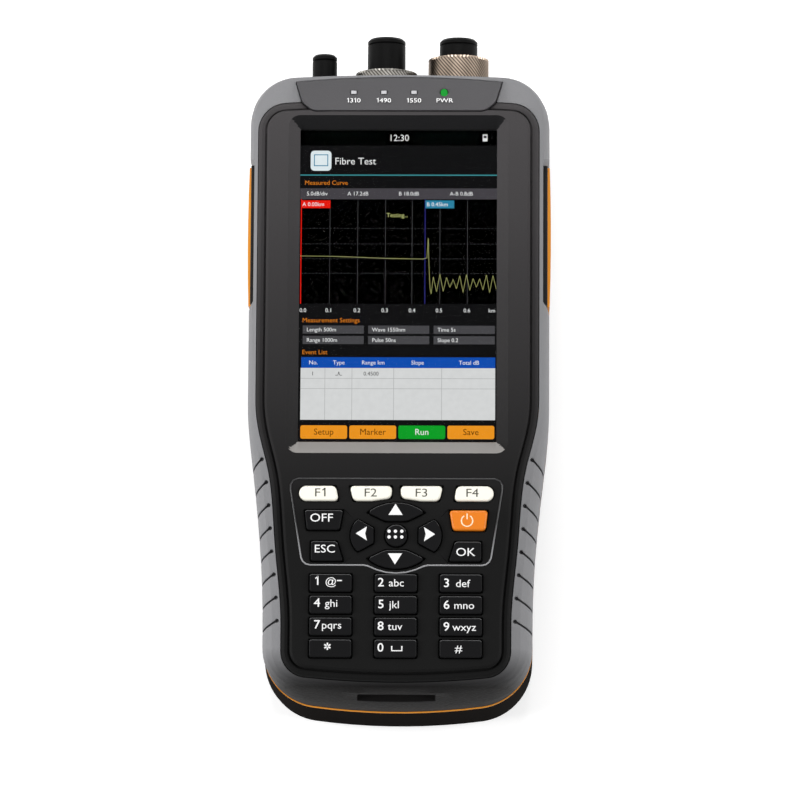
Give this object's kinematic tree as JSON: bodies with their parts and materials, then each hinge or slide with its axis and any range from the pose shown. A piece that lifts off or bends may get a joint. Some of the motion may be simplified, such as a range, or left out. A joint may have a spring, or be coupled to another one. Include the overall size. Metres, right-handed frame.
{
  "type": "optical time domain reflectometer",
  "caption": "Handheld optical time domain reflectometer: display above a keypad, soft bumpers, optical ports with dust caps at the head end and a folding stand on the back.",
  "frame": {"origin": "middle of the footprint, on the surface the instrument lies on, with its back down", "axes": "+Z out of the display, +Y towards the optical ports, +X to the right as the display is read"},
  "size_m": [0.1044, 0.2382, 0.0581],
  "materials": {
    "housing_black": "fine-textured ABS",
    "bumper_grey": "soft-touch elastomer",
    "bumper_dark": "soft-touch elastomer",
    "frame_orange": "moulded plastic",
    "panel_grey": "satin painted plastic",
    "trim_black": "moulded plastic",
    "lens_clear": "clear lens",
    "lens_green": "tinted lens",
    "glass": "hardened glass",
    "gasket": "closed foam",
    "display": "display module",
    "mat_rubber": "silicone",
    "board_green": "solder mask",
    "module_metal": "die-cast box",
    "nickel": "nickel-plated brass",
    "cap_black": "moulded plastic",
    "key_ivory": "silicone",
    "key_orange": "silicone",
    "key_black": "silicone",
    "battery_blue": "shrink sleeve",
    "steel": "zinc-plated"
  },
  "bodies": {
    "housing": {"front_housing": "housing_black", "rear_shell": "housing_black", "battery_door": "housing_black", "end_panel": "housing_black", "front_bumper": "bumper_grey", "rear_bumper": "bumper_dark", "mid_frame": "frame_orange", "indicator_panel": "panel_grey", "side_pad_left": "trim_black", "side_pad_right": "trim_black", "wavelength_lamps": "lens_clear", "power_lamp": "lens_green", "display_window": "glass", "display_gasket": "gasket", "display_module": "display", "keypad_mat": "mat_rubber", "keypad_board": "board_green", "main_board": "board_green", "otdr_module": "module_metal", "detector_module": "module_metal", "fault_laser": "module_metal", "trace_port": "nickel", "meter_port": "nickel", "fault_laser_port": "nickel", "battery_pack": "battery_blue", "stand_pin": "steel", "shell_screws": "steel", "board_screws": "steel", "door_screws": "steel"},
    "key_f1": {"key_f1": "key_ivory"},
    "key_f2": {"key_f2": "key_ivory"},
    "key_f3": {"key_f3": "key_ivory"},
    "key_f4": {"key_f4": "key_ivory"},
    "key_off": {"key_off": "key_black"},
    "key_escape": {"key_escape": "key_black"},
    "key_power": {"key_power": "key_orange"},
    "key_enter": {"key_enter": "key_black"},
    "key_up": {"key_up": "key_black"},
    "key_down": {"key_down": "key_black"},
    "key_left": {"key_left": "key_black"},
    "key_right": {"key_right": "key_black"},
    "key_1": {"key_1": "key_black"},
    "key_2": {"key_2": "key_black"},
    "key_3": {"key_3": "key_black"},
    "key_4": {"key_4": "key_black"},
    "key_5": {"key_5": "key_black"},
    "key_6": {"key_6": "key_black"},
    "key_7": {"key_7": "key_black"},
    "key_8": {"key_8": "key_black"},
    "key_9": {"key_9": "key_black"},
    "key_star": {"key_star": "key_black"},
    "key_0": {"key_0": "key_black"},
    "key_hash": {"key_hash": "key_black"},
    "key_centre": {"key_centre": "key_black"},
    "trace_cap": {"trace_cap": "cap_black"},
    "meter_cap": {"meter_cap": "cap_black"},
    "fault_laser_cap": {"fault_laser_cap": "cap_black"},
    "trace_ring": {"trace_ring": "nickel"},
    "meter_ring": {"meter_ring": "nickel"},
    "stand": {"stand": "trim_black"}
  },
  "joints": [
    {"name": "key_f1_press", "type": "slide", "parent": "housing", "child": "key_f1", "axis": [0, 0, -1], "range_m": [0, 0.0008], "stiffness_N_per_m": 300},
    {"name": "key_f2_press", "type": "slide", "parent": "housing", "child": "key_f2", "axis": [0, 0, -1], "range_m": [0, 0.0008], "stiffness_N_per_m": 300},
    {"name": "key_f3_press", "type": "slide", "parent": "housing", "child": "key_f3", "axis": [0, 0, -1], "range_m": [0, 0.0008], "stiffness_N_per_m": 300},
    {"name": "key_f4_press", "type": "slide", "parent": "housing", "child": "key_f4", "axis": [0, 0, -1], "range_m": [0, 0.0008], "stiffness_N_per_m": 300},
    {"name": "key_off_press", "type": "slide", "parent": "housing", "child": "key_off", "axis": [0, 0, -1], "range_m": [0, 0.0008], "stiffness_N_per_m": 300},
    {"name": "key_escape_press", "type": "slide", "parent": "housing", "child": "key_escape", "axis": [0, 0, -1], "range_m": [0, 0.0008], "stiffness_N_per_m": 300},
    {"name": "key_power_press", "type": "slide", "parent": "housing", "child": "key_power", "axis": [0, 0, -1], "range_m": [0, 0.0008], "stiffness_N_per_m": 300},
    {"name": "key_enter_press", "type": "slide", "parent": "housing", "child": "key_enter", "axis": [0, 0, -1], "range_m": [0, 0.0008], "stiffness_N_per_m": 300},
    {"name": "key_up_press", "type": "slide", "parent": "housing", "child": "key_up", "axis": [0, 0, -1], "range_m": [0, 0.0008], "stiffness_N_per_m": 300},
    {"name": "key_down_press", "type": "slide", "parent": "housing", "child": "key_down", "axis": [0, 0, -1], "range_m": [0, 0.0008], "stiffness_N_per_m": 300},
    {"name": "key_left_press", "type": "slide", "parent": "housing", "child": "key_left", "axis": [0, 0, -1], "range_m": [0, 0.0008], "stiffness_N_per_m": 300},
    {"name": "key_right_press", "type": "slide", "parent": "housing", "child": "key_right", "axis": [0, 0, -1], "range_m": [0, 0.0008], "stiffness_N_per_m": 300},
    {"name": "key_1_press", "type": "slide", "parent": "housing", "child": "key_1", "axis": [0, 0, -1], "range_m": [0, 0.0008], "stiffness_N_per_m": 300},
    {"name": "key_2_press", "type": "slide", "parent": "housing", "child": "key_2", "axis": [0, 0, -1], "range_m": [0, 0.0008], "stiffness_N_per_m": 300},
    {"name": "key_3_press", "type": "slide", "parent": "housing", "child": "key_3", "axis": [0, 0, -1], "range_m": [0, 0.0008], "stiffness_N_per_m": 300},
    {"name": "key_4_press", "type": "slide", "parent": "housing", "child": "key_4", "axis": [0, 0, -1], "range_m": [0, 0.0008], "stiffness_N_per_m": 300},
    {"name": "key_5_press", "type": "slide", "parent": "housing", "child": "key_5", "axis": [0, 0, -1], "range_m": [0, 0.0008], "stiffness_N_per_m": 300},
    {"name": "key_6_press", "type": "slide", "parent": "housing", "child": "key_6", "axis": [0, 0, -1], "range_m": [0, 0.0008], "stiffness_N_per_m": 300},
    {"name": "key_7_press", "type": "slide", "parent": "housing", "child": "key_7", "axis": [0, 0, -1], "range_m": [0, 0.0008], "stiffness_N_per_m": 300},
    {"name": "key_8_press", "type": "slide", "parent": "housing", "child": "key_8", "axis": [0, 0, -1], "range_m": [0, 0.0008], "stiffness_N_per_m": 300},
    {"name": "key_9_press", "type": "slide", "parent": "housing", "child": "key_9", "axis": [0, 0, -1], "range_m": [0, 0.0008], "stiffness_N_per_m": 300},
    {"name": "key_star_press", "type": "slide", "parent": "housing", "child": "key_star", "axis": [0, 0, -1], "range_m": [0, 0.0008], "stiffness_N_per_m": 300},
    {"name": "key_0_press", "type": "slide", "parent": "housing", "child": "key_0", "axis": [0, 0, -1], "range_m": [0, 0.0008], "stiffness_N_per_m": 300},
    {"name": "key_hash_press", "type": "slide", "parent": "housing", "child": "key_hash", "axis": [0, 0, -1], "range_m": [0, 0.0008], "stiffness_N_per_m": 300},
    {"name": "key_centre_press", "type": "slide", "parent": "housing", "child": "key_centre", "axis": [0, 0, -1], "range_m": [0, 0.0008], "stiffness_N_per_m": 300},
    {"name": "trace_cap_pull", "type": "slide", "parent": "housing", "child": "trace_cap", "axis": [0, 1, 0], "range_m": [0, 0.055]},
    {"name": "meter_cap_pull", "type": "slide", "parent": "housing", "child": "meter_cap", "axis": [0, 1, 0], "range_m": [0, 0.055]},
    {"name": "fault_laser_cap_pull", "type": "slide", "parent": "housing", "child": "fault_laser_cap", "axis": [0, 1, 0], "range_m": [0, 0.055]},
    {"name": "trace_ring_turn", "type": "hinge", "parent": "housing", "child": "trace_ring", "pos_m": [-0.0051, 0.1007, 0.028], "axis": [0, 1, 0], "continuous": true},
    {"name": "meter_ring_turn", "type": "hinge", "parent": "housing", "child": "meter_ring", "pos_m": [0.02, 0.1007, 0.028], "axis": [0, 1, 0], "continuous": true},
    {"name": "stand_fold", "type": "hinge", "parent": "housing", "child": "stand", "pos_m": [0, 0.0647, 0.004], "axis": [1, 0, 0], "range_deg": [0, 60]}
  ]
}
